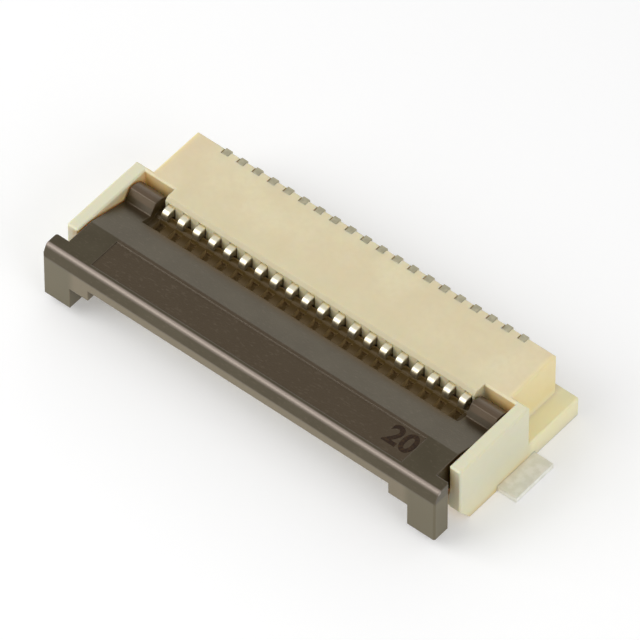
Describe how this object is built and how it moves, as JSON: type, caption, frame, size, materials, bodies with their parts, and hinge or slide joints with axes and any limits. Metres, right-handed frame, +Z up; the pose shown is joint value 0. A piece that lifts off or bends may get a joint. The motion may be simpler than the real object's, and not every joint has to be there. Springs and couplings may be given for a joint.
{
  "type": "flat cable connector",
  "caption": "Low right-angle surface-mount connector for a flat flexible cable, with fork contacts and a flip-down actuator.",
  "frame": {"origin": "on the board, under the centre of the whole part, tails included", "axes": "+X along the row of contacts, +Y towards the rear where the tails are, +Z up from the board; the cable goes in along +Y"},
  "size_m": [0.0138, 0.0064, 0.002],
  "materials": {
    "housing": "moulded ivory plastic, slightly translucent",
    "actuator": "moulded dark brown plastic, satin",
    "contact": "gold-plated bronze, tin-grey towards the rear",
    "solder_tab": "matte tin plate"
  },
  "bodies": {
    "base": {"housing": "housing", "contact_01": "contact", "contact_02": "contact", "contact_03": "contact", "contact_04": "contact", "contact_05": "contact", "contact_06": "contact", "contact_07": "contact", "contact_08": "contact", "contact_09": "contact", "contact_10": "contact", "contact_11": "contact", "contact_12": "contact", "contact_13": "contact", "contact_14": "contact", "contact_15": "contact", "contact_16": "contact", "contact_17": "contact", "contact_18": "contact", "contact_19": "contact", "contact_20": "contact", "solder_tab_left": "solder_tab", "solder_tab_right": "solder_tab"},
    "flap": {"actuator": "actuator"}
  },
  "joints": [
    {"name": "actuator_flip", "type": "hinge", "parent": "base", "child": "flap", "pos_m": [0, -0.00022, 0.00142], "axis": [-1, 0, 0], "range_deg": [0, 90]}
  ]
}
